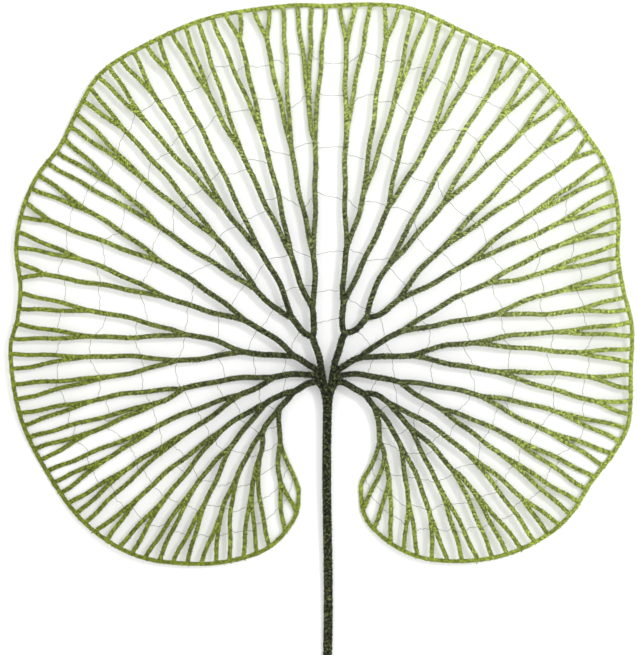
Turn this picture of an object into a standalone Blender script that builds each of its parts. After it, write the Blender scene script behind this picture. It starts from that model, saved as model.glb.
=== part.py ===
"""Openwork water lily pad: a leaf skeleton of stitched thread cords, lying on a flat surface.

Metres, +Z up, leaf tip towards +Y, stem towards -Y, upper side up. The leaf is drawn round its hub,
where the stem meets the veins, and moved at the end so that the middle of its footprint is the origin.
Eight main veins leave the hub and fork again and again until 135 tips reach the rim cord.
"""

import math
import random

import bmesh
import bpy
import numpy as np

MM = 0.001
GAP = 0.4 * MM

# The rim cord, from the left tip of the notch over the top of the leaf to the right tip:
# bearing from the hub in degrees, anticlockwise from +X, and distance in millimetres.
RIM_SHAPE = (
    (255.1, 70), (256.4, 80), (255.4, 91), (250.5, 108.5), (243.3, 123), (234, 140), (222, 162),
    (210, 177), (198, 186.5), (186, 196.5), (174, 203), (168, 202), (162, 205.5), (156, 217),
    (150, 224.5), (144, 228.7), (138, 229.5), (132, 237.5), (126, 246), (119, 246.5), (108, 246.5),
    (96, 244.3), (90, 243), (83, 245.5), (77, 246.5), (70, 242.5), (64, 241.5), (60, 242.8),
    (54, 238), (46, 232), (38, 227), (31, 216.5), (24, 203), (18, 198.7), (11, 198), (3, 194),
    (-3, 194), (-8, 193.5), (-14, 187), (-20, 179.5), (-27, 176), (-34, 169.5), (-43, 157),
    (-52, 141.5), (-61, 125), (-67.5, 109.3), (-72.5, 93.5), (-73.8, 82), (-71.8, 69),
)
RIM_WIDTH = 2.7 * MM
RIM_STEPS = 160
RIM_RISE = 4.6 * MM
RIM_DIPS = 6
DIP_SHARPNESS = 5

# The hub: half of its outline in millimetres, from the stem up its left side to the notch between
# its two prongs. Each pair in HUB_FACES is a flat face that one main vein butts against.
HUB_FLARE = ((-3.7, -7), (-5.0, -2.2), (-7.2, -0.2))
HUB_FACES = (
    ((-8.3, 0.6), (-9.85, 4.6)),
    ((-9.9, 5.0), (-9.3, 9.3)),
    ((-9.1, 9.5), (-6.5, 13.0)),
    ((-6.3, 13.5), (-2.1, 14.4)),
)
HUB_NOTCH = (0.3, 2.0)
LEAF_RISE = 5.2 * MM
CORD_HEIGHT = 2.2 * MM

STEM_LENGTH = 201 * MM
STEM_TOP = -14 * MM
STEM_WIDTH = 6.4 * MM
STEM_HEIGHT = 4.4 * MM
STEM_FLAT = 26 * MM
STEM_STEPS = 16
STEM_SWAY = 0.5 * MM
HUB_UNDERSIDE = 4.2 * MM

# The main veins, from the left side of the notch round to the right: name, how far along the rim the
# stretch ends that its tips share out, and how it forks. In the brackets the branch nearer the left
# side of the notch comes first, and a number is a branch with that many tips.
MAIN_VEINS = (
    ("vein_lobe_left", 0.130, (((1, 2), ((1, 2), (1, 2))), ((2, 2), (2, 2)))),
    ("vein_side_left", 0.202, (((1, 2), (2, 1)), ((2, 1), 2))),
    ("vein_upper_left", 0.327, (((2, 2), (2, 2)), ((2, 2), (2, 2)))),
    ("vein_top_left", 0.509, ((((1, 2), (2, 2)), ((2, 2), 2)), (((2, 1), (1, 2)), ((2, 1), (2, 1))))),
    ("vein_top_right", 0.704, ((((2, 1), (2, 2)), (2, (1, 2))), ((2, (2, 2)), ((2, 2), (2, 2))))),
    ("vein_upper_right", 0.811, (((2, 2), (2, 2)), ((2, 2), (2, 2)))),
    ("vein_side_right", 0.871, ((2, 2), (2, 2))),
    ("vein_lobe_right", 1.000, (((2, 1), ((2, 1), 2)), ((2, 2), ((2, 1), 1)))),
)
TIP_WIDTH = 2.7 * MM
WIDTH_GROWTH = 0.165
NOTCH_TIPS = 3
NOTCH_TIP_SPACE = 0.0110
SEED = 14

# Where a vein forks, as a share of the way from hub to rim, for 2, 4, 8 and 16 tips or more: in the
# round of the leaf, beside the notch, and how much chance moves it.
FORK_TIPS = (2, 4, 8, 16)
FORK_SHARES = (0.75, 0.475, 0.25, 0.10)
LOBE_FORK_SHARES = (0.60, 0.38, 0.20, 0.085)
FORK_SPREADS = (0.12, 0.06, 0.03, 0.01)
LOBE_REACH = 2.0
SHORTEST_VEIN = 0.075

# How soon a vein leaves its parent's line for its own, for 1, 2, 4 and 8 tips or more.
EASE_TIPS = (1, 2, 4, 8)
FORK_EASES = (1.8, 2.4, 2.6, 4.0)
WOBBLE = 0.45 * MM
WOBBLE_WAVE = 34 * MM
FINE_STEPS = 160
FORK_SETBACK = 0.5
STRIP_STEP = 15 * MM

# How the veins leave the hub and meet the rim: reach of the two handles of each vein's curve, longer
# beside the notch, and how far the branches of one main vein fan out as they leave.
LEAVE = 0.236
LEAVE_NOTCH = 0.50
ARRIVE = 0.12
NOTCH_ZONE = 0.14
NOTCH_SHARE = 0.020
FAN_SHARE = 1.2

THREAD_ROUGHNESS = 0.75
STEM_GREEN = (0.045, 0.055, 0.020)
VEIN_GREEN = (0.110, 0.190, 0.030)
RIM_GREEN = (0.260, 0.400, 0.045)


def heading(bearing):
    """Unit vectors for bearings in degrees."""
    turn = np.radians(bearing)
    return np.stack([np.cos(turn), np.sin(turn)], axis=-1)


def left_of(ways):
    """Directions turned a quarter turn to the left."""
    return np.stack([-ways[..., 1], ways[..., 0]], axis=-1)


def unit(ways):
    return ways / np.linalg.norm(ways, axis=-1, keepdims=True)


def smooth_curve(points, steps=80):
    """A Catmull-Rom curve through the points."""
    knots = np.vstack([2 * points[0] - points[1], points, 2 * points[-1] - points[-2]])
    t = np.linspace(0, 1, steps, endpoint=False)[:, None]
    pieces = []
    for a, b, c, d in zip(knots, knots[1:], knots[2:], knots[3:]):
        bend = (2 * a - 5 * b + 4 * c - d) * t**2 + (3 * b - a - 3 * c + d) * t**3
        pieces.append(b + ((c - a) * t + bend) / 2)
    pieces.append(points[-1:])
    return np.concatenate(pieces)


RIM = smooth_curve(np.array([heading(bearing) * reach * MM for bearing, reach in RIM_SHAPE]))
RIM_RUN = np.concatenate([[0], np.cumsum(np.linalg.norm(np.diff(RIM, axis=0), axis=1))])


def rim_at(across):
    """Points on the rim cord, across running from 0 at its left end to 1 at its right end."""
    run = np.asarray(across) * RIM_RUN[-1]
    return np.stack([np.interp(run, RIM_RUN, RIM[:, axis]) for axis in (0, 1)], axis=-1)


def rim_heading(across, step=0.004):
    ahead = rim_at(np.clip(np.asarray(across) + step, 0, 1))
    behind = rim_at(np.clip(np.asarray(across) - step, 0, 1))
    return unit(ahead - behind)


def rim_rise(across):
    """Height of the rim's underside: it dips to the surface at each end and a few times between."""
    dip = np.abs(np.cos(np.pi * RIM_DIPS * np.asarray(across)))
    return RIM_RISE * (1 - dip**DIP_SHARPNESS)


def mirrored(point):
    return (2 * HUB_NOTCH[0] - point[0], point[1])


def vein_starts():
    """The middle of each hub face and the way it faces, from the left lobe round to the right lobe."""
    starts = []
    ways = []
    right_faces = [(mirrored(b), mirrored(a)) for a, b in reversed(HUB_FACES)]
    for a, b in (*HUB_FACES, *right_faces):
        a, b = np.array(a) * MM, np.array(b) * MM
        ways.append(unit(left_of(b - a)))
        starts.append((a + b) / 2 + ways[-1] * GAP)
    return np.array(starts), np.degrees(np.unwrap([math.atan2(y, x) for x, y in ways]))


def tips_of(forks):
    """How many tips a vein that forks like this carries."""
    return forks if isinstance(forks, int) else sum(tips_of(branch) for branch in forks)


def tips_beside_notch(stretch, count):
    """Tips along a stretch of rim that starts at the notch, the first few wider apart."""
    first = NOTCH_TIPS * NOTCH_TIP_SPACE
    rest = count - NOTCH_TIPS
    even = [first + (stretch - first) * n / (rest - 0.5) for n in range(rest)]
    return [n * NOTCH_TIP_SPACE for n in range(NOTCH_TIPS)] + even


def tips_across():
    """Where the tips meet the rim, each main vein's evenly spaced along its own stretch."""
    ends = [end for _, end, _ in MAIN_VEINS]
    counts = [tips_of(forks) for _, _, forks in MAIN_VEINS]
    across = tips_beside_notch(ends[0], counts[0])
    for begin, end, count in zip(ends, ends[1:-1], counts[1:-1]):
        across += [begin + (end - begin) * (n + 0.5) / count for n in range(count)]
    return across + [1 - tip for tip in reversed(tips_beside_notch(1 - ends[-2], counts[-1]))]


CHANCE = random.Random(SEED)
TIP_ACROSS = tips_across()
TIPS = len(TIP_ACROSS)
STARTS, BEARINGS = vein_starts()
FIRST_TIPS = np.cumsum([0] + [tips_of(forks) for _, _, forks in MAIN_VEINS])
MIDDLES = [np.mean(TIP_ACROSS[a:b]) for a, b in zip(FIRST_TIPS, FIRST_TIPS[1:])]


def lobe_share(across):
    """How far a place on the rim is into one of the two lobes beside the notch."""
    return np.clip(1 - LOBE_REACH * (1 - np.abs(2 * across - 1)), 0, 1)


def main_of(tip):
    """Which main vein a tip belongs to."""
    return int(np.searchsorted(FIRST_TIPS, tip, side="right")) - 1


def place(main, across, along):
    """Plan position of a point on the leaf, along running from 0 at the hub to 1 at the rim.

    Each value of across has one curve from its main vein's hub face to the rim: it leaves much as the
    face looks and meets the rim square to it, but at the notch it runs into the end of the rim.
    """
    across, along = np.broadcast_arrays(across, along)
    start = STARTS[main]
    end = rim_at(across)
    reach = np.linalg.norm(end - start, axis=-1, keepdims=True)
    rimward = rim_heading(across)
    inward = unit(-left_of(rimward) + (start - end) / reach)
    at_left = np.clip(1 - across / NOTCH_SHARE, 0, 1)[..., None]
    at_right = np.clip(1 - (1 - across) / NOTCH_SHARE, 0, 1)[..., None]
    arrive = unit(inward * (1 - at_left) * (1 - at_right) + rimward * (at_right - at_left))
    near_notch = np.clip(1 - np.minimum(across, 1 - across) / NOTCH_ZONE, 0, 1)[..., None]
    leave = LEAVE + (LEAVE_NOTCH - LEAVE) * near_notch
    fan = FAN_SHARE * (np.interp(across, MIDDLES, BEARINGS) - BEARINGS[main])
    leaving = start + heading(BEARINGS[main] + fan) * reach * leave
    arriving = end + arrive * reach * ARRIVE
    v = along[..., None]
    return (1 - v)**3 * start + 3 * (1 - v)**2 * v * leaving + 3 * (1 - v) * v**2 * arriving + v**3 * end


def leaf_rise(across, along):
    """Height of the veins' underside: level round the hub, easing to the rim's own height."""
    ease = along * along * (3 - 2 * along)
    return LEAF_RISE * (1 - ease) + rim_rise(across) * ease


def fork_share(count, born, across):
    """How far out a vein with this many tips forks."""
    round_leaf, beside_notch, spread = (
        np.interp(math.log2(count), np.log2(FORK_TIPS), shares)
        for shares in (FORK_SHARES, LOBE_FORK_SHARES, FORK_SPREADS)
    )
    share = round_leaf + (beside_notch - round_leaf) * lobe_share(across)
    return max(share + spread * CHANCE.uniform(-1, 1), born + SHORTEST_VEIN)


def grow(plan, tips, born=0.0, leaving=None):
    """A vein that carries these tips, with the two veins it forks into, down to single tips."""
    count = len(tips)
    own = np.mean([TIP_ACROSS[tip] for tip in tips])
    leaving = own if leaving is None else leaving
    ends = 1.0 if count == 1 else fork_share(count, born, own)
    t = np.linspace(0, 1, FINE_STEPS)
    ease = np.interp(math.log2(count), np.log2(EASE_TIPS), FORK_EASES)
    across = own + (leaving - own) * (1 - t)**ease
    along = born + (ends - born) * t
    path = place(main_of(tips[0]), across, along)
    run = np.linalg.norm(np.diff(path, axis=0), axis=1).sum()
    sway = np.sin(2 * np.pi * (t * run / WOBBLE_WAVE + CHANCE.random())) * np.sin(np.pi * t)
    path = path + left_of(unit(np.gradient(path, axis=0))) * (WOBBLE * sway)[:, None]
    forks = []
    if count > 1:
        left, right = (1, 1) if plan == 2 else plan
        half = tips_of(left)
        forks = [grow(left, tips[:half], ends, own), grow(right, tips[half:], ends, own)]
    return {
        "path": path,
        "rise": leaf_rise(across, along),
        "width": TIP_WIDTH * count**WIDTH_GROWTH,
        "forks": forks,
        "tips": tips,
    }


def distance_to_rim(points):
    """Distance from each point to the rim's centre line."""
    return np.linalg.norm(points[:, None] - RIM[None], axis=2).min(axis=1)


def parting(left, right):
    """The first points of two forking veins at which their strips no longer overlap."""
    apart = np.linalg.norm(left["path"][:, None] - right["path"][None], axis=2)
    clear = apart.min(axis=1) >= (left["width"] + right["width"]) / 2
    first = int(np.argmax(clear))
    return first, int(apart[first].argmin())


def edges(vein):
    """Left and right edges of a vein's strip, with their heights."""
    side = left_of(unit(np.gradient(vein["path"], axis=0))) * vein["width"] / 2
    rise = vein["rise"][:, None]
    return np.hstack([vein["path"] + side, rise]), np.hstack([vein["path"] - side, rise])


def last_station(vein):
    """The last point of a vein's strip: a little short of its fork, or clear of the rim."""
    if vein["forks"]:
        left = np.linalg.norm(vein["path"] - vein["path"][-1], axis=1)
        return int(np.flatnonzero(left >= FORK_SETBACK * vein["width"])[-1])
    if vein["tips"][0] in (0, TIPS - 1):
        return FINE_STEPS - 1
    lefts, rights = edges(vein)
    reach = np.minimum(distance_to_rim(lefts[:, :2]), distance_to_rim(rights[:, :2]))
    return int(np.flatnonzero(reach >= RIM_WIDTH / 2 + GAP)[-1])


def add_vein(mesh, vein, first=0, left_start=None, right_start=None):
    """Add a vein's strip of faces to the mesh, then a face at its fork and the veins beyond it."""
    lefts, rights = edges(vein)
    last = last_station(vein)
    run = np.linalg.norm(np.diff(vein["path"][first:last + 1], axis=0), axis=1).sum()
    steps = max(1, math.ceil(run / STRIP_STEP))
    stations = np.linspace(first, last, steps + 1).round().astype(int)
    left = left_start or mesh.verts.new(lefts[first])
    right = right_start or mesh.verts.new(rights[first])
    for station in stations[1:]:
        next_left = mesh.verts.new(lefts[station])
        next_right = mesh.verts.new(rights[station])
        mesh.faces.new((left, right, next_right, next_left))
        left, right = next_left, next_right
    if not vein["forks"]:
        return
    left_vein, right_vein = vein["forks"]
    left_first, right_first = parting(left_vein, right_vein)
    middle = (left_vein["path"][left_first] + right_vein["path"][right_first]) / 2
    rise = (left_vein["rise"][left_first] + right_vein["rise"][right_first]) / 2
    crotch = mesh.verts.new((*middle, rise))
    outer_left = mesh.verts.new(edges(left_vein)[0][left_first])
    outer_right = mesh.verts.new(edges(right_vein)[1][right_first])
    mesh.faces.new((left, right, outer_right, crotch, outer_left))
    add_vein(mesh, left_vein, left_first, outer_left, crotch)
    add_vein(mesh, right_vein, right_first, crotch, outer_right)


def add_strip(mesh, centre, rise, width):
    """Add a strip of faces of one width along a line; returns its last two corners."""
    side = left_of(unit(np.gradient(centre, axis=0))) * width / 2
    pairs = [
        (mesh.verts.new((*(point + reach), height)), mesh.verts.new((*(point - reach), height)))
        for point, reach, height in zip(centre, side, rise)
    ]
    for (left, right), (next_left, next_right) in zip(pairs, pairs[1:]):
        mesh.faces.new((left, right, next_right, next_left))
    return pairs[-1]


def thread(name, colour):
    """A matt thread of one colour."""
    material = bpy.data.materials.new(name)
    material.use_nodes = True
    shader = material.node_tree.nodes["Principled BSDF"]
    shader.inputs["Base Color"].default_value = (*colour, 1)
    shader.inputs["Roughness"].default_value = THREAD_ROUGHNESS
    material.diffuse_color = (*colour, 1)
    return material


def solid(name, mesh, height, material):
    """Give a sheet of faces its height and make it a closed object."""
    sheet = mesh.faces[:]
    raised = bmesh.ops.extrude_face_region(mesh, geom=sheet, use_keep_orig=True)["geom"]
    top = [item for item in raised if isinstance(item, bmesh.types.BMVert)]
    bmesh.ops.translate(mesh, verts=top, vec=(0, 0, height))
    bmesh.ops.triangulate(mesh, faces=mesh.faces[:])
    bmesh.ops.recalc_face_normals(mesh, faces=mesh.faces[:])
    data = bpy.data.meshes.new(name)
    mesh.to_mesh(data)
    mesh.free()
    data.materials.append(material)
    piece = bpy.data.objects.new(name, data)
    bpy.context.collection.objects.link(piece)
    return piece


def build_main_vein(name, plan, tips):
    """One main vein with all its branches, from its hub face to its tips just short of the rim."""
    mesh = bmesh.new()
    add_vein(mesh, grow(plan, tips))
    return solid(name, mesh, CORD_HEIGHT, thread(name, VEIN_GREEN))


def build_rim():
    """The cord round the leaf, open at the notch, where the outermost veins meet its two ends."""
    trim = GAP / RIM_RUN[-1]
    across = np.linspace(trim, 1 - trim, RIM_STEPS + 1)
    mesh = bmesh.new()
    add_strip(mesh, rim_at(across), rim_rise(across), RIM_WIDTH)
    return solid("rim", mesh, CORD_HEIGHT, thread("rim", RIM_GREEN))


def build_stem():
    """The stem, flat on the surface at its cut end and rising to the hub's two prongs."""
    y = np.array([-STEM_LENGTH, *np.linspace(STEM_FLAT - STEM_LENGTH, STEM_TOP, STEM_STEPS)])
    t = np.clip((y - y[1]) / (STEM_TOP - y[1]), 0, 1)
    x = HUB_NOTCH[0] * MM + STEM_SWAY * np.sin(2 * np.pi * t)
    rise = HUB_UNDERSIDE * t * t * (3 - 2 * t)
    mesh = bmesh.new()
    left, right = add_strip(mesh, np.stack([x, y], axis=1), rise, STEM_WIDTH)
    half = [*HUB_FLARE, *(corner for face in HUB_FACES for corner in face)]
    outline = [*half, HUB_NOTCH, *(mirrored(point) for point in reversed(half))]
    corners = [mesh.verts.new((px * MM, py * MM, HUB_UNDERSIDE)) for px, py in outline]
    mesh.faces.new((left, *corners, right))
    return solid("stem", mesh, STEM_HEIGHT, thread("stem", STEM_GREEN))


def centre_on_origin(pieces):
    """Move the pieces so that the middle of their footprint is the origin."""
    corners = np.array([vertex.co for piece in pieces for vertex in piece.data.vertices])
    middle = (corners.min(axis=0) + corners.max(axis=0)) / 2
    for piece in pieces:
        piece.location = (-middle[0], -middle[1], -corners[:, 2].min())


for item in list(bpy.data.objects):
    bpy.data.objects.remove(item)

PIECES = [build_stem(), build_rim()]
for (vein_name, _, vein_plan), first_tip, next_tip in zip(MAIN_VEINS, FIRST_TIPS, FIRST_TIPS[1:]):
    PIECES.append(build_main_vein(vein_name, vein_plan, list(range(first_tip, next_tip))))
centre_on_origin(PIECES)
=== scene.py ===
"""Looks of an openwork water lily pad, stitched from graded green thread and lying on a pale surface."""

import math
import random

import bpy
import numpy as np
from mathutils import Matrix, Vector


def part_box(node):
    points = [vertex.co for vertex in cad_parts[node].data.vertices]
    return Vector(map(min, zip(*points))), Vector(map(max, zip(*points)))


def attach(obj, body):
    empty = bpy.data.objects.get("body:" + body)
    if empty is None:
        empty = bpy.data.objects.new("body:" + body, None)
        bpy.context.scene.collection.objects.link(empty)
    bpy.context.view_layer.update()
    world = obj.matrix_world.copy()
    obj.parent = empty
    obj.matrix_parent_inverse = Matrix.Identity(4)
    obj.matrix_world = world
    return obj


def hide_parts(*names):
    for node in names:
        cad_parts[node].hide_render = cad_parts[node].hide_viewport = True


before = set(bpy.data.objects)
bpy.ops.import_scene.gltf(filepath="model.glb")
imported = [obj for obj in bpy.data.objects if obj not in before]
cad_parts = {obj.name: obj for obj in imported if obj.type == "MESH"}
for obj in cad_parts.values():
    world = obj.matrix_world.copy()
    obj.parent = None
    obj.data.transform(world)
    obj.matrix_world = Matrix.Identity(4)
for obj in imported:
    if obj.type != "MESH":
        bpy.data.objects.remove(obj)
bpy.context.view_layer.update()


# ---------------------------------------------------------------------------------------------------
# The rim. One cord runs round the whole leaf and is open at the notch. It is a padded core closely
# whipped over with green thread, so its surface is a lattice of short slanting stitches.

MM = 0.001

# Bearing from the hub in degrees, anticlockwise from +X, and distance in millimetres.
RIM_SHAPE = (
    (255.1, 70), (256.4, 80), (255.4, 91), (250.5, 108.5), (243.3, 123), (234, 140), (222, 162),
    (210, 177), (198, 186.5), (186, 196.5), (174, 203), (168, 202), (162, 205.5), (156, 217),
    (150, 224.5), (144, 228.7), (138, 229.5), (132, 237.5), (126, 246), (119, 246.5), (108, 246.5),
    (96, 244.3), (90, 243), (83, 245.5), (77, 246.5), (70, 242.5), (64, 241.5), (60, 242.8),
    (54, 238), (46, 232), (38, 227), (31, 216.5), (24, 203), (18, 198.7), (11, 198), (3, 194),
    (-3, 194), (-8, 193.5), (-14, 187), (-20, 179.5), (-27, 176), (-34, 169.5), (-43, 157),
    (-52, 141.5), (-61, 125), (-67.5, 109.3), (-72.5, 93.5), (-73.8, 82), (-71.8, 69),
)
RIM_WIDTH = 2.7 * MM
RIM_FULLNESS = 0.96
RIM_RISE = 4.6 * MM
RIM_DIPS = 6
DIP_SHARPNESS = 5
RIM_SEED = 10

# A cord is drawn fuller than its width, because only its proudest stitches reach its outside, and the
# core lies deeper than they do. Its middle is lifted so that it lies on its underside.
CORD_STEP = 1.1 * MM
CORD_FLATNESS = 0.74
CORD_FULLNESS = 1.40
CORD_LIFT = CORD_FLATNESS * CORD_FULLNESS / 2
CORE_DEPTH = 0.62 * MM
CORE_STEP = 2.4 * MM
CORE_CORNERS = 8
# The core shows only in the gaps between the stitches, and its low tone is painted shade in those gaps.
CORE_PAINTED_SHADE = 0.1

# The stitches lie a pitch apart, give or take a share of it, and sink into the cord by chance. Their
# tones run from dark at 0 to light at 1.
STITCH_PITCH = 1.1 * MM
STITCH_SLIDE = 0.3
STITCH_THREAD = 0.66 * MM
STITCH_SLANT = math.radians(40)
STITCH_SLANT_SPREAD = math.radians(12)
STITCH_PROUD = 0.48 * MM
STITCH_TONES = (0.25, 1.0)

# A stitch is a ring of three-sided thread, made round a radius of 1 and scaled to the cord.
RING_CORNERS = 8
RING_THREAD = 0.17
RING_THREAD_CORNERS = 3
RING_THREAD_WIDTH = RING_THREAD * math.sqrt(3)

# Thread colours along the leaf, from the hub at 0 to the rim at 1.
LEAF_GREENS = (
    (0.00, (0.045, 0.053, 0.022)),
    (0.15, (0.072, 0.087, 0.038)),
    (0.40, (0.168, 0.200, 0.070)),
    (0.65, (0.316, 0.386, 0.091)),
    (1.00, (0.327, 0.408, 0.066)),
)

# Painted light: the green is painted lighter towards the upper right of the leaf, where the lamp stands,
# and darker towards the lower left, with its blue rising fastest as a pale painted sheen. These are its
# painted lightness in the middle of the frame, and what a metre along each axis adds.
PAINTED_LIGHT_AT_MIDDLE = 0.873
PAINTED_LIGHT_PER_METRE = (1.33, 1.13, 0.0)

# How strongly the stitches and specks stand out.
CONTRAST_AT_HUB = 1.60
CONTRAST_AT_RIM = 0.70

# The fibres of the thread are a fine grain in colour and relief. Noise is a half on average, so with
# another half added it leaves the green as it is. Specks are the low and high patches of a wider noise.
GRAIN_SCALE = 2200.0
GRAIN_BALANCE = 0.5
GRAIN_BUMP = 0.35
GRAIN_DEPTH = 0.1 * MM
SPECK_SCALE = 680.0
SPECK_RANGE = (0.42, 0.60)
NOISE_DETAIL = 2.0

# A satin thread with a faint green sheen.
THREAD_FINISH = {
    "Roughness": 0.5,
    "Specular IOR Level": 0.16,
    "Sheen Weight": 0.08,
    "Sheen Tint": (0.50, 0.62, 0.22, 1.0),
    "Sheen Roughness": 0.4,
}

# The hub, where all bearings and distances start. It is found from the stem's solid, whose middle lies
# a little to its right.
STEM_LENGTH = 201 * MM
HUB_MIDDLE = 0.3 * MM
STEM_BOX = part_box("stem")
HUB = np.array([(STEM_BOX[0][0] + STEM_BOX[1][0]) / 2 - HUB_MIDDLE, STEM_BOX[0][1] + STEM_LENGTH])


def heading(bearing):
    """Unit vectors for bearings in degrees."""
    turn = np.radians(bearing)
    return np.stack([np.cos(turn), np.sin(turn)], axis=-1)


def left_of(ways):
    """Directions turned a quarter turn to the left."""
    return np.stack([-ways[..., 1], ways[..., 0]], axis=-1)


def unit(ways):
    """Directions at a length of 1."""
    return ways / np.linalg.norm(ways, axis=-1, keepdims=True)


def smooth_curve(points, steps=80):
    """A smooth curve that passes through all the points."""
    knots = np.vstack([2 * points[0] - points[1], points, 2 * points[-1] - points[-2]])
    t = np.linspace(0, 1, steps, endpoint=False)[:, None]
    pieces = []
    for a, b, c, d in zip(knots, knots[1:], knots[2:], knots[3:]):
        bend = (2 * a - 5 * b + 4 * c - d) * t**2 + (3 * b - a - 3 * c + d) * t**3
        pieces.append(b + ((c - a) * t + bend) / 2)
    pieces.append(points[-1:])
    return np.concatenate(pieces)


RIM = smooth_curve(np.array([heading(bearing) * reach * MM for bearing, reach in RIM_SHAPE]))
RIM_RUN = np.concatenate([[0], np.cumsum(np.linalg.norm(np.diff(RIM, axis=0), axis=1))])


def rim_at(across):
    """Points on the rim cord, across running from 0 at its left end to 1 at its right end."""
    run = np.asarray(across) * RIM_RUN[-1]
    return np.stack([np.interp(run, RIM_RUN, RIM[:, axis]) for axis in (0, 1)], axis=-1)


def rim_rise(across):
    """Height of the rim's underside: it dips to the surface at each end and a few times between."""
    dip = np.abs(np.cos(np.pi * RIM_DIPS * np.asarray(across)))
    return RIM_RISE * (1 - dip**DIP_SHARPNESS)


def link_nodes(tree, pairs):
    """Link each pair of an output and an input."""
    for start, end in pairs:
        tree.links.new(start, end)


def feed(tree, socket, value):
    """Give an input a value, or link it to another node's output."""
    if isinstance(value, bpy.types.NodeSocket):
        tree.links.new(value, socket)
    else:
        socket.default_value = value


def new_node(tree, kind, **settings):
    """A node with its properties set by name, and its inputs by the names in the dict 'sockets'."""
    node = tree.nodes.new(kind)
    sockets = settings.pop("sockets", {})
    for name, value in settings.items():
        setattr(node, name, value)
    for name, value in sockets.items():
        feed(tree, node.inputs[name], value)
    return node


def arithmetic(tree, operation, first, second):
    """A Math node of two terms, each a number or a socket; returns its result."""
    node = new_node(tree, "ShaderNodeMath", operation=operation)
    for socket, value in zip(node.inputs, (first, second)):
        feed(tree, socket, value)
    return node.outputs[0]


def scaled(tree, vector, factor):
    """A direction or a colour times a number."""
    node = new_node(tree, "ShaderNodeVectorMath", operation="SCALE", sockets={"Scale": factor})
    feed(tree, node.inputs[0], vector)
    return node.outputs[0]


def chance_node(tree, low, high, seed, salt):
    """A random number for each stitch, the salt telling draws of the same seed apart."""
    node = new_node(tree, "FunctionNodeRandomValue", data_type="FLOAT")
    limits = [socket for socket in node.inputs if socket.name in ("Min", "Max") and socket.type == "VALUE"]
    for socket, value in zip(limits, (low, high)):
        feed(tree, socket, value)
    feed(tree, node.inputs["Seed"], arithmetic(tree, "ADD", seed, salt))
    return next(socket for socket in node.outputs if socket.type == "VALUE")


def named_float(tree, name):
    """A number stored on each point of a line."""
    node = new_node(tree, "GeometryNodeInputNamedAttribute", data_type="FLOAT", sockets={"Name": name})
    return node.outputs["Attribute"]


def store_float(tree, geometry, name, value):
    """Store a number on each point."""
    node = new_node(
        tree, "GeometryNodeStoreNamedAttribute", data_type="FLOAT", domain="POINT",
        sockets={"Geometry": geometry, "Name": name},
    )
    value_socket = next(socket for socket in node.inputs if socket.name == "Value" and socket.enabled)
    feed(tree, value_socket, value)
    return node.outputs["Geometry"]


def circle_line(tree, corners, radius=1.0):
    """A closed line with this many corners round the origin."""
    circle = new_node(
        tree, "GeometryNodeCurvePrimitiveCircle", mode="RADIUS",
        sockets={"Resolution": corners, "Radius": radius},
    )
    return circle.outputs["Curve"]


def tree_inputs(tree, sizes):
    """Give a node tree a geometry input and output and one named input for each size."""
    tree.interface.new_socket("Geometry", in_out="INPUT", socket_type="NodeSocketGeometry")
    tree.interface.new_socket("Geometry", in_out="OUTPUT", socket_type="NodeSocketGeometry")
    for name, kind in sizes:
        tree.interface.new_socket(name, in_out="INPUT", socket_type=kind)
    return tree.nodes.new("NodeGroupInput").outputs


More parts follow.
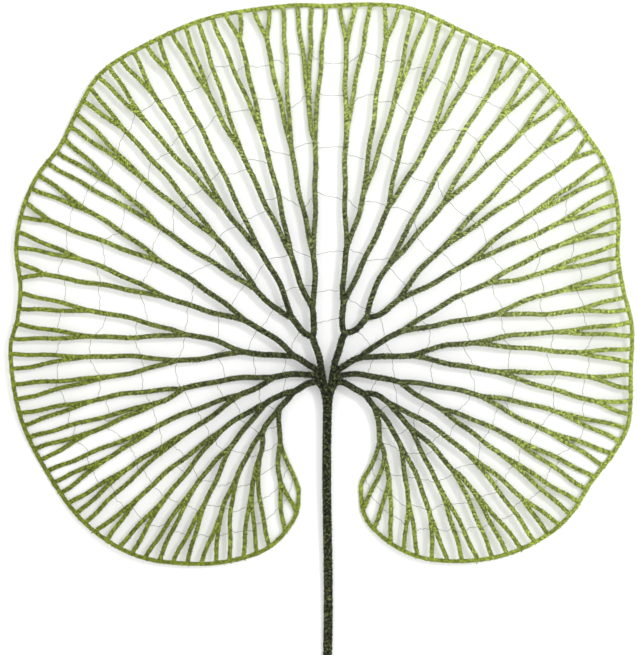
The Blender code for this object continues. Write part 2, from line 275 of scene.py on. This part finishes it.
def stitched_cord_tree():
    """Nodes that turn lines into cords: a flattened core, and slanting rings of thread round it."""
    tree = bpy.data.node_groups.new("stitched_cord", "GeometryNodeTree")
    given = tree_inputs(tree, (
        ("Stitch Pitch", "NodeSocketFloat"),
        ("Thread Width", "NodeSocketFloat"),
        ("Slant", "NodeSocketFloat"),
        ("Slant Spread", "NodeSocketFloat"),
        ("Stitch Proud", "NodeSocketFloat"),
        ("Flatness", "NodeSocketFloat"),
        ("Core Step", "NodeSocketFloat"),
        ("Core Depth", "NodeSocketFloat"),
        ("Seed", "NodeSocketInt"),
        ("Thread", "NodeSocketMaterial"),
    ))
    half_width = named_float(tree, "half_width")
    lines = new_node(tree, "GeometryNodeMeshToCurve", sockets={"Mesh": given["Geometry"]}).outputs["Curve"]
    lines = new_node(tree, "GeometryNodeSetCurveNormal", mode="Z_UP", sockets={"Curve": lines}).outputs[0]

    core_line = new_node(
        tree, "GeometryNodeResampleCurve", mode="LENGTH",
        sockets={"Curve": lines, "Length": given["Core Step"]},
    ).outputs["Curve"]
    squash = new_node(tree, "ShaderNodeCombineXYZ", sockets={"X": 1.0, "Y": given["Flatness"], "Z": 1.0})
    oval = new_node(
        tree, "GeometryNodeTransform",
        sockets={"Geometry": circle_line(tree, CORE_CORNERS), "Scale": squash.outputs[0]},
    ).outputs["Geometry"]
    outside = arithmetic(tree, "MULTIPLY", half_width, CORD_FULLNESS)
    core = new_node(tree, "GeometryNodeCurveToMesh", sockets={
        "Curve": core_line, "Profile Curve": oval, "Fill Caps": True,
        "Scale": arithmetic(tree, "SUBTRACT", outside, given["Core Depth"]),
    })
    # Painted shade: the core's low tone darkens the gaps between the stitches.
    core = store_float(tree, core.outputs["Mesh"], "tone", CORE_PAINTED_SHADE)

    row = new_node(
        tree, "GeometryNodeCurveToPoints", mode="LENGTH",
        sockets={"Curve": lines, "Length": given["Stitch Pitch"]},
    )
    tone = chance_node(tree, *STITCH_TONES, given["Seed"], salt=1)
    points = store_float(tree, row.outputs["Points"], "tone", tone)
    slide = chance_node(tree, -STITCH_SLIDE, STITCH_SLIDE, given["Seed"], salt=2)
    slide = arithmetic(tree, "MULTIPLY", slide, given["Stitch Pitch"])
    points = new_node(
        tree, "GeometryNodeSetPosition",
        sockets={"Geometry": points, "Offset": scaled(tree, row.outputs["Tangent"], slide)},
    ).outputs["Geometry"]

    ring = new_node(tree, "GeometryNodeCurveToMesh", sockets={
        "Curve": circle_line(tree, RING_CORNERS),
        "Profile Curve": circle_line(tree, RING_THREAD_CORNERS, RING_THREAD),
    })
    ring = new_node(
        tree, "GeometryNodeTransform",
        sockets={"Geometry": ring.outputs["Mesh"], "Rotation": (0.0, math.radians(90), 0.0)},
    ).outputs["Geometry"]

    spread = chance_node(tree, -1.0, 1.0, given["Seed"], salt=3)
    spread = arithmetic(tree, "MULTIPLY", spread, given["Slant Spread"])
    slant = arithmetic(tree, "ADD", given["Slant"], spread)
    slant = arithmetic(tree, "MULTIPLY", slant, named_float(tree, "lean"))
    along = new_node(
        tree, "FunctionNodeAlignRotationToVector", axis="X", pivot_axis="Z",
        sockets={"Vector": row.outputs["Tangent"]},
    ).outputs["Rotation"]
    spin = new_node(tree, "ShaderNodeCombineXYZ", sockets={"Z": slant}).outputs[0]
    turn = new_node(tree, "FunctionNodeEulerToRotation", sockets={"Euler": spin}).outputs["Rotation"]
    turned = new_node(
        tree, "FunctionNodeRotateRotation", rotation_space="LOCAL",
        sockets={"Rotation": along, "Rotate By": turn},
    ).outputs["Rotation"]
    sunk = chance_node(tree, 0.0, 1.0, given["Seed"], salt=4)
    sunk = arithmetic(tree, "MULTIPLY", sunk, given["Stitch Proud"])
    reach = arithmetic(tree, "DIVIDE", arithmetic(tree, "SUBTRACT", outside, sunk), 1 + RING_THREAD)
    scale = new_node(tree, "ShaderNodeCombineXYZ", sockets={
        "X": arithmetic(tree, "DIVIDE", given["Thread Width"], RING_THREAD_WIDTH),
        "Y": arithmetic(tree, "DIVIDE", reach, arithmetic(tree, "COSINE", slant, 0.0)),
        "Z": arithmetic(tree, "MULTIPLY", reach, given["Flatness"]),
    })
    rings = new_node(
        tree, "GeometryNodeInstanceOnPoints",
        sockets={"Points": points, "Instance": ring, "Rotation": turned, "Scale": scale.outputs[0]},
    ).outputs["Instances"]

    joined = new_node(tree, "GeometryNodeJoinGeometry")
    link_nodes(tree, ((rings, joined.inputs[0]), (core, joined.inputs[0])))
    whole = new_node(tree, "GeometryNodeRealizeInstances", sockets={"Geometry": joined.outputs[0]})
    smooth = new_node(tree, "GeometryNodeSetShadeSmooth", sockets={"Geometry": whole.outputs[0]})
    dressed = new_node(
        tree, "GeometryNodeSetMaterial",
        sockets={"Geometry": smooth.outputs[0], "Material": given["Thread"]},
    )
    tree.links.new(dressed.outputs[0], tree.nodes.new("NodeGroupOutput").inputs[0])
    return tree


def spread_over(tree, value, before, after):
    """A value brought from one range of low and high to another."""
    node = new_node(tree, "ShaderNodeMapRange", sockets={
        "Value": value, "From Min": before[0], "From Max": before[1], "To Min": after[0], "To Max": after[1],
    })
    return node.outputs[0]


def stitched_thread(name, greens, stitches, specks, painted_light_slope=(0.0, 0.0, 0.0)):
    """Sewing thread: a satin green that follows how far out it lies.

    Stitches and specks are each the darkest and lightest shade of that green, from stitch to stitch
    and from place to place. The last argument is painted light: how much lighter the green is painted
    a metre along each axis, with its blue lifted most, as a pale painted sheen.
    """
    material = bpy.data.materials.new(name)
    material.use_nodes = True
    tree = material.node_tree
    shader = tree.nodes["Principled BSDF"]
    share = new_node(tree, "ShaderNodeAttribute", attribute_name="share")
    ramp = new_node(tree, "ShaderNodeValToRGB", sockets={"Fac": share.outputs["Fac"]})
    stops = ramp.color_ramp.elements
    for position, _ in greens[len(stops):]:
        stops.new(position)
    for stop, (position, green) in zip(stops, greens):
        stop.position = position
        stop.color = (*green, 1)
    tone = new_node(tree, "ShaderNodeAttribute", attribute_name="tone")
    spot = new_node(tree, "ShaderNodeTexCoord").outputs["Object"]
    grain, patches = [
        new_node(
            tree, "ShaderNodeTexNoise", sockets={"Vector": spot, "Scale": scale, "Detail": NOISE_DETAIL},
        ).outputs[0]
        for scale in (GRAIN_SCALE, SPECK_SCALE)
    ]
    stitch_shade = spread_over(tree, tone.outputs["Fac"], (0.0, 1.0), stitches)
    speck_shade = spread_over(tree, patches, SPECK_RANGE, specks)
    # Painted light: the green is painted lighter towards the lamp's side of the leaf, its blue most of all.
    across = new_node(tree, "ShaderNodeVectorMath", operation="DOT_PRODUCT")
    across.inputs[1].default_value = painted_light_slope
    tree.links.new(spot, across.inputs[0])
    shade = arithmetic(tree, "ADD", across.outputs["Value"], PAINTED_LIGHT_AT_MIDDLE)
    tint = new_node(tree, "ShaderNodeCombineXYZ", sockets={
        "X": shade, "Y": shade, "Z": arithmetic(tree, "MULTIPLY", shade, shade),
    })
    painted_light_green = new_node(tree, "ShaderNodeVectorMath", operation="MULTIPLY")
    link_nodes(tree, ((ramp.outputs["Color"], painted_light_green.inputs[0]), (tint.outputs[0], painted_light_green.inputs[1])))
    flecked = arithmetic(tree, "MULTIPLY", stitch_shade, arithmetic(tree, "ADD", grain, GRAIN_BALANCE))
    flecked = arithmetic(tree, "MULTIPLY", flecked, speck_shade)
    contrast = spread_over(tree, share.outputs["Fac"], (0.0, 1.0), (CONTRAST_AT_HUB, CONTRAST_AT_RIM))
    flecked = arithmetic(tree, "POWER", flecked, contrast)
    bump = new_node(tree, "ShaderNodeBump", sockets={
        "Height": grain, "Strength": GRAIN_BUMP, "Distance": GRAIN_DEPTH,
    })
    link_nodes(tree, (
        (scaled(tree, painted_light_green.outputs[0], flecked), shader.inputs["Base Color"]),
        (bump.outputs[0], shader.inputs["Normal"]),
    ))
    for socket_name, value in THREAD_FINISH.items():
        shader.inputs[socket_name].default_value = value
    return material


def line_mesh(name, lines):
    """An object of open lines, each a dict of its points and of three numbers along them.

    They are half_width of the cord, share of the way from hub to rim, and lean, 1 or -1 for the way
    that its stitches slant.
    """
    points = np.concatenate([line["points"] for line in lines])
    counts = [len(line["points"]) for line in lines]
    starts = np.concatenate([[0], np.cumsum(counts)])
    sides = [(i, i + 1) for start, count in zip(starts, counts) for i in range(start, start + count - 1)]
    mesh = bpy.data.meshes.new(name)
    mesh.from_pydata(points.tolist(), sides, [])
    for key in ("half_width", "share", "lean"):
        layer = mesh.attributes.new(key, "FLOAT", "POINT")
        values = np.concatenate([np.broadcast_to(line[key], count) for line, count in zip(lines, counts)])
        layer.data.foreach_set("value", values.astype(np.float32))
    piece = bpy.data.objects.new(name, mesh)
    bpy.context.collection.objects.link(piece)
    return piece


def grown_by(piece, tree, sizes):
    """Run a node tree on an object and keep the result as its plain mesh."""
    modifier = piece.modifiers.new(tree.name, "NODES")
    modifier.node_group = tree
    sockets = {item.name: item.identifier for item in tree.interface.items_tree if item.in_out == "INPUT"}
    for name, value in sizes.items():
        modifier[sockets[name]] = value
    drawn = piece.evaluated_get(bpy.context.evaluated_depsgraph_get())
    mesh = bpy.data.meshes.new_from_object(drawn)
    piece.modifiers.remove(modifier)
    old = piece.data
    piece.data = mesh
    bpy.data.meshes.remove(old)
    mesh.name = piece.name
    return piece


def on_frame(plan, height):
    """Plan positions measured from the hub, and heights, as points of the frame."""
    return np.column_stack([plan + HUB, height])


STITCHED_CORD = stitched_cord_tree()
LEAF_THREAD = stitched_thread(
    "leaf_thread", LEAF_GREENS, stitches=(0.30, 1.35), specks=(0.54, 1.66), painted_light_slope=PAINTED_LIGHT_PER_METRE,
)
CORD_SIZES = {
    "Stitch Pitch": STITCH_PITCH,
    "Thread Width": STITCH_THREAD,
    "Slant": STITCH_SLANT,
    "Slant Spread": STITCH_SLANT_SPREAD,
    "Stitch Proud": STITCH_PROUD,
    "Flatness": CORD_FLATNESS,
    "Core Step": CORE_STEP,
    "Core Depth": CORE_DEPTH,
    "Thread": LEAF_THREAD,
}

rim_across = np.linspace(0, 1, int(RIM_RUN[-1] / CORD_STEP))
rim_line = {
    "points": on_frame(rim_at(rim_across), rim_rise(rim_across) + CORD_LIFT * RIM_FULLNESS * RIM_WIDTH),
    "half_width": RIM_FULLNESS * RIM_WIDTH / 2,
    "share": 1.0,
    "lean": 1.0,
}
rim_cord = grown_by(line_mesh("rim_cord", [rim_line]), STITCHED_CORD, {**CORD_SIZES, "Seed": RIM_SEED})
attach(rim_cord, "root")
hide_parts("rim")


# ---------------------------------------------------------------------------------------------------
# The main veins. Eight cords leave the two prongs of the hub and fork again and again, thinner at
# each fork, until their tips are sewn into the rim. Each is one branching cord, whipped like the rim.

# The two ends of each face of the left prong, in millimetres from the hub. The right prong mirrors it.
HUB_FACES = (
    ((-8.3, 0.6), (-9.85, 4.6)),
    ((-9.9, 5.0), (-9.3, 9.3)),
    ((-9.1, 9.5), (-6.5, 13.0)),
    ((-6.3, 13.5), (-2.1, 14.4)),
)

# The gap between a face and the cord that leaves it, and how high the leaf stands round the hub.
GAP = 0.4 * MM
LEAF_RISE = 5.2 * MM

# From the left side of the notch round to the right: name, how far along the rim the stretch ends
# that its tips share out, and how it forks. In the brackets the branch nearer the left side of the
# notch comes first, and a number is a branch with that many tips.
MAIN_VEINS = (
    ("vein_lobe_left", 0.130, (((1, 2), ((1, 2), (1, 2))), ((2, 2), (2, 2)))),
    ("vein_side_left", 0.202, (((1, 2), (2, 1)), ((2, 1), 2))),
    ("vein_upper_left", 0.327, (((2, 2), (2, 2)), ((2, 2), (2, 2)))),
    ("vein_top_left", 0.509, ((((1, 2), (2, 2)), ((2, 2), 2)), (((2, 1), (1, 2)), ((2, 1), (2, 1))))),
    ("vein_top_right", 0.704, ((((2, 1), (2, 2)), (2, (1, 2))), ((2, (2, 2)), ((2, 2), (2, 2))))),
    ("vein_upper_right", 0.811, (((2, 2), (2, 2)), ((2, 2), (2, 2)))),
    ("vein_side_right", 0.871, ((2, 2), (2, 2))),
    ("vein_lobe_right", 1.000, (((2, 1), ((2, 1), 2)), ((2, 2), ((2, 1), 1)))),
)

# A cord that carries one tip is this wide, and one that carries more grows by a low power of their
# number. The first tips beside the notch are this share of the rim apart.
TIP_WIDTH = 2.7 * MM
WIDTH_GROWTH = 0.115
NOTCH_TIPS = 3
NOTCH_TIP_SPACE = 0.0110

VEIN_SEED = 14
LEAN_SEED = 5
VEIN_STITCH_SEED = 100
NEXT_VEIN_SEED = 10

# Where a vein forks, as a share of the way from hub to rim, for 2, 4, 8 and 16 tips or more: in the
# round of the leaf, beside the notch, and how much chance moves it.
FORK_TIPS = (2, 4, 8, 16)
FORK_SHARES = (0.75, 0.475, 0.25, 0.10)
LOBE_FORK_SHARES = (0.60, 0.38, 0.20, 0.085)
FORK_SPREADS = (0.12, 0.06, 0.03, 0.01)
LOBE_REACH = 2.0
SHORTEST_VEIN = 0.075

# How soon a vein leaves its parent's line for its own, for 1, 2, 4 and 8 tips or more.
EASE_TIPS = (1, 2, 4, 8)
FORK_EASES = (1.8, 2.4, 2.6, 4.0)
WOBBLE = 0.45 * MM
WOBBLE_WAVE = 34 * MM
FINE_STEPS = 160
FEWEST_POINTS = 3

# How the veins leave the hub and meet the rim: reach of the two handles of each vein's curve, longer
# beside the notch, and how far the branches of one main vein fan out as they leave.
LEAVE = 0.236
LEAVE_NOTCH = 0.50
ARRIVE = 0.12
FAN_SHARE = 1.2

# The stretch of rim at each end where a vein counts as beside the notch: in how it leaves the hub, and
# in how it meets the rim.
NOTCH_ZONE = 0.14
NOTCH_SHARE = 0.020


def rim_heading(across, step=0.004):
    """Which way the rim runs at a place along it."""
    ahead = rim_at(np.clip(np.asarray(across) + step, 0, 1))
    behind = rim_at(np.clip(np.asarray(across) - step, 0, 1))
    return unit(ahead - behind)


def mirrored(point):
    """The same place on the other prong of the hub."""
    return (2 * HUB_MIDDLE / MM - point[0], point[1])


def vein_starts():
    """The middle of each hub face and the way it faces, from the left lobe round to the right lobe."""
    starts = []
    ways = []
    right_faces = [(mirrored(b), mirrored(a)) for a, b in reversed(HUB_FACES)]
    for a, b in (*HUB_FACES, *right_faces):
        a, b = np.array(a) * MM, np.array(b) * MM
        ways.append(unit(left_of(b - a)))
        starts.append((a + b) / 2 + ways[-1] * GAP)
    return np.array(starts), np.degrees(np.unwrap([math.atan2(y, x) for x, y in ways]))


def tips_of(forks):
    """How many tips a vein that forks like this carries."""
    return forks if isinstance(forks, int) else sum(tips_of(branch) for branch in forks)


def cord_width(tips):
    """How wide the cord of a vein with this many tips is."""
    return TIP_WIDTH * tips**WIDTH_GROWTH


def tips_beside_notch(stretch, count):
    """Tips along a stretch of rim that starts at the notch, the first few wider apart."""
    first = NOTCH_TIPS * NOTCH_TIP_SPACE
    rest = count - NOTCH_TIPS
    even = [first + (stretch - first) * n / (rest - 0.5) for n in range(rest)]
    return [n * NOTCH_TIP_SPACE for n in range(NOTCH_TIPS)] + even


def tips_across():
    """Where the tips meet the rim, each main vein's evenly spaced along its own stretch."""
    ends = [end for _, end, _ in MAIN_VEINS]
    counts = [tips_of(forks) for _, _, forks in MAIN_VEINS]
    across = tips_beside_notch(ends[0], counts[0])
    for begin, end, count in zip(ends, ends[1:-1], counts[1:-1]):
        across += [begin + (end - begin) * (n + 0.5) / count for n in range(count)]
    return across + [1 - tip for tip in reversed(tips_beside_notch(1 - ends[-2], counts[-1]))]


CHANCE = random.Random(VEIN_SEED)
LEANS = random.Random(LEAN_SEED)
TIP_ACROSS = tips_across()
STARTS, BEARINGS = vein_starts()
FIRST_TIPS = np.cumsum([0] + [tips_of(forks) for _, _, forks in MAIN_VEINS])
MIDDLES = [np.mean(TIP_ACROSS[a:b]) for a, b in zip(FIRST_TIPS, FIRST_TIPS[1:])]


def lobe_share(across):
    """How far a place on the rim is into one of the two lobes beside the notch."""
    return np.clip(1 - LOBE_REACH * (1 - np.abs(2 * across - 1)), 0, 1)


def main_of(tip):
    """Which main vein a tip belongs to."""
    return int(np.searchsorted(FIRST_TIPS, tip, side="right")) - 1


def curve_between(start, leaving, arriving, end, along):
    """A curve from start to end that sets out towards one handle and comes in from another."""
    rest = 1 - along
    setting_out = rest**3 * start + 3 * rest**2 * along * leaving
    return setting_out + 3 * rest * along**2 * arriving + along**3 * end


def place(main, across, along):
    """Plan position of a point on the leaf, along running from 0 at the hub to 1 at the rim.

    Each value of across has one curve from its main vein's hub face to the rim: it leaves much as the
    face looks and meets the rim square to it, but at the notch it runs into the end of the rim.
    """
    across, along = np.broadcast_arrays(across, along)
    start = STARTS[main]
    end = rim_at(across)
    reach = np.linalg.norm(end - start, axis=-1, keepdims=True)
    rimward = rim_heading(across)
    inward = unit(-left_of(rimward) + (start - end) / reach)
    at_left = np.clip(1 - across / NOTCH_SHARE, 0, 1)[..., None]
    at_right = np.clip(1 - (1 - across) / NOTCH_SHARE, 0, 1)[..., None]
    arrive = unit(inward * (1 - at_left) * (1 - at_right) + rimward * (at_right - at_left))
    near_notch = np.clip(1 - np.minimum(across, 1 - across) / NOTCH_ZONE, 0, 1)[..., None]
    leave = LEAVE + (LEAVE_NOTCH - LEAVE) * near_notch
    fan = FAN_SHARE * (np.interp(across, MIDDLES, BEARINGS) - BEARINGS[main])
    leaving = start + heading(BEARINGS[main] + fan) * reach * leave
    arriving = end + arrive * reach * ARRIVE
    return curve_between(start, leaving, arriving, end, along[..., None])


def leaf_rise(across, along):
    """Height of the veins' underside: level round the hub, easing to the rim's own height."""
    ease = along * along * (3 - 2 * along)
    return LEAF_RISE * (1 - ease) + rim_rise(across) * ease


def fork_share(count, born, across):
    """How far out a vein with this many tips forks."""
    round_leaf, beside_notch, spread = (
        np.interp(math.log2(count), np.log2(FORK_TIPS), shares)
        for shares in (FORK_SHARES, LOBE_FORK_SHARES, FORK_SPREADS)
    )
    share = round_leaf + (beside_notch - round_leaf) * lobe_share(across)
    return max(share + spread * CHANCE.uniform(-1, 1), born + SHORTEST_VEIN)


def grow(plan, tips, born=0.0, leaving=None):
    """A vein that carries these tips, followed by all the veins beyond its forks, as one list."""
    count = len(tips)
    own = np.mean([TIP_ACROSS[tip] for tip in tips])
    leaving = own if leaving is None else leaving
    ends = 1.0 if count == 1 else fork_share(count, born, own)
    t = np.linspace(0, 1, FINE_STEPS)
    ease = np.interp(math.log2(count), np.log2(EASE_TIPS), FORK_EASES)
    across = own + (leaving - own) * (1 - t)**ease
    along = born + (ends - born) * t
    path = place(main_of(tips[0]), across, along)
    run = np.linalg.norm(np.diff(path, axis=0), axis=1).sum()
    sway = np.sin(2 * np.pi * (t * run / WOBBLE_WAVE + CHANCE.random())) * np.sin(np.pi * t)
    path = path + left_of(unit(np.gradient(path, axis=0))) * (WOBBLE * sway)[:, None]
    width = cord_width(count)
    point_count = max(FEWEST_POINTS, int(run / CORD_STEP))
    picked = np.unique(np.linspace(0, FINE_STEPS - 1, point_count).round().astype(int))
    vein = {
        "points": on_frame(path, leaf_rise(across, along) + CORD_LIFT * width)[picked],
        "half_width": width / 2,
        "share": along[picked],
        "lean": LEANS.choice((-1.0, 1.0)),
        "across": own,
        "born": born,
        "ends": ends,
        "path": path,
        "along": along,
    }
    if count == 1:
        return [vein]
    left, right = (1, 1) if plan == 2 else plan
    half = tips_of(left)
    return [vein, *grow(left, tips[:half], ends, own), *grow(right, tips[half:], ends, own)]


veins = []
for number, (node_name, _, plan) in enumerate(MAIN_VEINS):
    branches = grow(plan, list(range(FIRST_TIPS[number], FIRST_TIPS[number + 1])))
    veins += branches
    cord = line_mesh(f"{node_name}_cord", branches)
    stitch_seed = VEIN_STITCH_SEED + NEXT_VEIN_SEED * number
    cord = grown_by(cord, STITCHED_CORD, {**CORD_SIZES, "Seed": stitch_seed})
    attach(cord, "root")
    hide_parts(node_name)


# ---------------------------------------------------------------------------------------------------
# The stem. Eight strands are whipped with dark thread, laid side by side and sewn to each other. They
# part into two prongs at the top, where each strand spreads and runs on into one main vein.

# The bundle ends this far from the hub. Its foot lies flat, and then it rises to the hub's underside.
STEM_TOP = -14 * MM
STEM_WIDTH = 6.4 * MM
STEM_HEIGHT = 4.4 * MM
STEM_FLAT = 26 * MM
STEM_SWAY = 0.5 * MM
HUB_UNDERSIDE = 4.2 * MM
STRAND_WIDTH = 2.2 * MM
STRAND_FLATNESS = 0.82
STRAND_STEP = 2.0 * MM
STRAND_TURN = math.radians(45)
STEM_SEED = 300

# How a strand turns out to its vein: points of the turn, and the reach of the handles of its curve.
TURN_OUT_POINTS = 12
TURN_OUT_LEAVE = 0.45
TURN_OUT_LIFT = 0.03
TURN_OUT_ARRIVE = 0.35

# Each strand's turn round the bundle, in degrees from its right side, and the vein it runs into.
STRANDS = (
    (202.5, "vein_lobe_left"),
    (157.5, "vein_side_left"),
    (247.5, "vein_upper_left"),
    (112.5, "vein_top_left"),
    (67.5, "vein_top_right"),
    (292.5, "vein_upper_right"),
    (22.5, "vein_side_right"),
    (337.5, "vein_lobe_right"),
)


def strand_line(turn, vein_number):
    """One strand from the cut foot to the hub face that its vein leaves."""
    spoke = heading(turn)
    fullness = STRAND_WIDTH * CORD_FULLNESS
    room = np.array([STEM_WIDTH - fullness, STEM_HEIGHT - fullness * STRAND_FLATNESS]) / 2
    offset = spoke * room / math.cos(STRAND_TURN / 2)
    y = np.arange(-STEM_LENGTH, STEM_TOP, STRAND_STEP)
    t = np.clip((y + STEM_LENGTH - STEM_FLAT) / (STEM_TOP + STEM_LENGTH - STEM_FLAT), 0, 1)
    x = HUB_MIDDLE + STEM_SWAY * np.sin(2 * np.pi * t) + offset[0]
    z = HUB_UNDERSIDE * t * t * (3 - 2 * t) + STEM_HEIGHT / 2 + offset[1]
    straight = np.column_stack([x, y, z])

    vein_width = cord_width(tips_of(MAIN_VEINS[vein_number][2]))
    end = np.array([*STARTS[vein_number], LEAF_RISE + CORD_LIFT * vein_width])
    leave = np.array([*heading(BEARINGS[vein_number]), 0])
    start = straight[-1]
    reach = np.linalg.norm(end - start)
    along = np.linspace(0, 1, TURN_OUT_POINTS)[1:]
    leaving = start + np.array([0, TURN_OUT_LEAVE, TURN_OUT_LIFT]) * reach
    arriving = end - leave * TURN_OUT_ARRIVE * reach
    points = np.vstack([straight, curve_between(start, leaving, arriving, end, along[:, None])])
    turn_widths = STRAND_WIDTH + (vein_width - STRAND_WIDTH) * along
    widths = np.concatenate([np.full(len(straight), STRAND_WIDTH), turn_widths])
    points[:, :2] += HUB
    return {"points": points, "half_width": widths / 2, "share": 0.0, "lean": -np.sign(spoke[0])}


VEIN_NAMES = [name for name, _, _ in MAIN_VEINS]
strand_lines = [strand_line(turn, VEIN_NAMES.index(vein)) for turn, vein in STRANDS]
stem_cord = line_mesh("stem_cord", strand_lines)
STEM_THREAD = stitched_thread("stem_thread", LEAF_GREENS, stitches=(0.10, 1.25), specks=(0.12, 2.3))
stem_sizes = {**CORD_SIZES, "Flatness": STRAND_FLATNESS, "Thread": STEM_THREAD, "Seed": STEM_SEED}
stem_cord = grown_by(stem_cord, STITCHED_CORD, stem_sizes)
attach(stem_cord, "root")
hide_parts("stem")


# ---------------------------------------------------------------------------------------------------
# The cross threads. Single fine threads step from vein to vein in rings round the leaf, and hold the
# veins apart. Each sags a little between its two knots.

# How far out each ring runs, as a share of the way from hub to rim, and how far its knots stray from it.
CROSS_RINGS = (0.13, 0.22, 0.32, 0.43, 0.54, 0.66, 0.78)
CROSS_SCATTER = 0.022

# Bow and droop are shares of the distance between a thread's knots, and kinks are steps to the side.
CROSS_BOW = 0.10
CROSS_DROOP = 0.05
CROSS_KINK = 0.55 * MM
CROSS_SHORTEST = 5 * MM
CROSS_WIDTH = 0.27 * MM
CROSS_POINTS = 9
CROSS_SIDES = 4
CROSS_GREEN = (0.16, 0.17, 0.13)
CROSS_SEED = 7
CROSS_CHANCE = random.Random(CROSS_SEED)


def spot_on(vein, along):
    """The middle of a vein's cord, this far out."""
    x, y = (np.interp(along, vein["along"], vein["path"][:, axis]) for axis in (0, 1))
    z = np.interp(along, vein["share"], vein["points"][:, 2])
    return np.array([x + HUB[0], y + HUB[1], z])


def cross_ends(first, second, ring):
    """Where a thread is knotted to two neighbouring veins, each a little off its ring."""
    ends = []
    for vein in (first, second):
        along = ring + CROSS_SCATTER * CROSS_CHANCE.uniform(-1, 1)
        ends.append(spot_on(vein, np.clip(along, vein["born"], vein["ends"])))
    return ends


def cross_thread(ends, ring):
    """A thread between two knots, bowed to one side, drooping and a little kinked."""
    span = np.linalg.norm(ends[1] - ends[0])
    t = np.linspace(0, 1, CROSS_POINTS)[:, None]
    across = unit(np.array([ends[0][1] - ends[1][1], ends[1][0] - ends[0][0], 0]))
    bow = CROSS_CHANCE.uniform(-1, 1) * CROSS_BOW * span
    droop = np.array([0, 0, -CROSS_DROOP * span])
    points = ends[0] + (ends[1] - ends[0]) * t + (across * bow + droop) * 4 * t * (1 - t)
    kinks = np.array([CROSS_CHANCE.uniform(-1, 1) for _ in t[1:-1]]) * CROSS_KINK
    points[1:-1] += across * kinks[:, None]
    points[:, 2] = np.maximum(points[:, 2], CROSS_WIDTH)
    return {"points": points, "half_width": CROSS_WIDTH / 2, "share": ring, "lean": 1.0}


cross_lines = []
for ring in CROSS_RINGS:
    alive = sorted((v for v in veins if v["born"] <= ring < v["ends"]), key=lambda v: v["across"])
    gaps = [cross_ends(a, b, ring) for a, b in zip(alive, alive[1:])]
    cross_lines += [cross_thread(ends, ring) for ends in gaps if math.dist(*ends) > CROSS_SHORTEST]


def single_thread_tree():
    """Nodes that turn lines into single round threads."""
    tree = bpy.data.node_groups.new("single_thread", "GeometryNodeTree")
    given = tree_inputs(tree, (("Sides", "NodeSocketInt"), ("Thread", "NodeSocketMaterial")))
    lines = new_node(tree, "GeometryNodeMeshToCurve", sockets={"Mesh": given["Geometry"]}).outputs["Curve"]
    tube = new_node(tree, "GeometryNodeCurveToMesh", sockets={
        "Curve": lines, "Profile Curve": circle_line(tree, given["Sides"]), "Fill Caps": True,
        "Scale": named_float(tree, "half_width"),
    })
    whole = new_node(tree, "GeometryNodeRealizeInstances", sockets={"Geometry": tube.outputs["Mesh"]})
    dressed = new_node(
        tree, "GeometryNodeSetMaterial", sockets={"Geometry": whole.outputs[0], "Material": given["Thread"]},
    )
    tree.links.new(dressed.outputs[0], tree.nodes.new("NodeGroupOutput").inputs[0])
    return tree


CROSS_THREAD = stitched_thread(
    "cross_thread", ((0.0, CROSS_GREEN), (1.0, CROSS_GREEN)), stitches=(1.0, 1.0), specks=(0.7, 1.3),
)
cross_sizes = {"Sides": CROSS_SIDES, "Thread": CROSS_THREAD}
cross_threads = grown_by(line_mesh("cross_threads", cross_lines), single_thread_tree(), cross_sizes)
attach(cross_threads, "root")


# ---------------------------------------------------------------------------------------------------
# The floor. The leaf lies on a plain matt white surface, which takes its soft shadow. It is stage and
# no part of the object.

FLOOR_SIZE = 6.0
FLOOR_WHITE = (0.95, 0.95, 0.95)
FLOOR_ROUGHNESS = 0.9

floor_mesh = bpy.data.meshes.new("floor")
half = FLOOR_SIZE / 2
floor_mesh.from_pydata(
    [(-half, -half, 0), (half, -half, 0), (half, half, 0), (-half, half, 0)], [], [(0, 1, 2, 3)],
)
floor = bpy.data.objects.new("floor", floor_mesh)
bpy.context.collection.objects.link(floor)
floor_white = bpy.data.materials.new("floor_white")
floor_white.use_nodes = True
floor_finish = floor_white.node_tree.nodes["Principled BSDF"].inputs
floor_finish["Base Color"].default_value = (*FLOOR_WHITE, 1)
floor_finish["Roughness"].default_value = FLOOR_ROUGHNESS
floor.data.materials.append(floor_white)


# ---------------------------------------------------------------------------------------------------
# The light. A broad soft lamp stands over the right of the picture, a little towards its top, and a
# bright even sky fills the shadows. The lamp's bearing, elevation and softness are in degrees.

KEY_BEARING = 28
KEY_ELEVATION = 52
KEY_STRENGTH = 0.8
KEY_SOFTNESS = 9
SKY_STRENGTH = 1.16

key = bpy.data.lights.new("key", "SUN")
key.energy = KEY_STRENGTH
key.angle = math.radians(KEY_SOFTNESS)
key_lamp = bpy.data.objects.new("key", key)
key_lamp.rotation_euler = (0, math.radians(90 - KEY_ELEVATION), math.radians(KEY_BEARING))
bpy.context.collection.objects.link(key_lamp)
sky = bpy.data.worlds.new("sky")
bpy.context.scene.world = sky
sky.use_nodes = True
sky_light = sky.node_tree.nodes["Background"].inputs
sky_light["Color"].default_value = (1, 1, 1, 1)
sky_light["Strength"].default_value = SKY_STRENGTH
bpy.context.scene.view_settings.view_transform = "Standard"


# ---------------------------------------------------------------------------------------------------
# The camera. It looks straight down from far off, so the leaf shows almost no perspective, and the cut
# end of the stem lies outside its view. The middle of the view is measured from the hub.

VIEW_HEIGHT = 419.2 * MM
VIEW_OFFSET = np.array([-5.44, 37.44]) * MM
CAMERA_DISTANCE = 1.6
SENSOR = 36

camera = bpy.data.cameras.new("camera")
camera.sensor_width = SENSOR
camera.lens = SENSOR * CAMERA_DISTANCE / VIEW_HEIGHT
camera_stand = bpy.data.objects.new("camera", camera)
camera_stand.location = (*(HUB + VIEW_OFFSET), CAMERA_DISTANCE)
bpy.context.collection.objects.link(camera_stand)
bpy.context.scene.camera = camera_stand
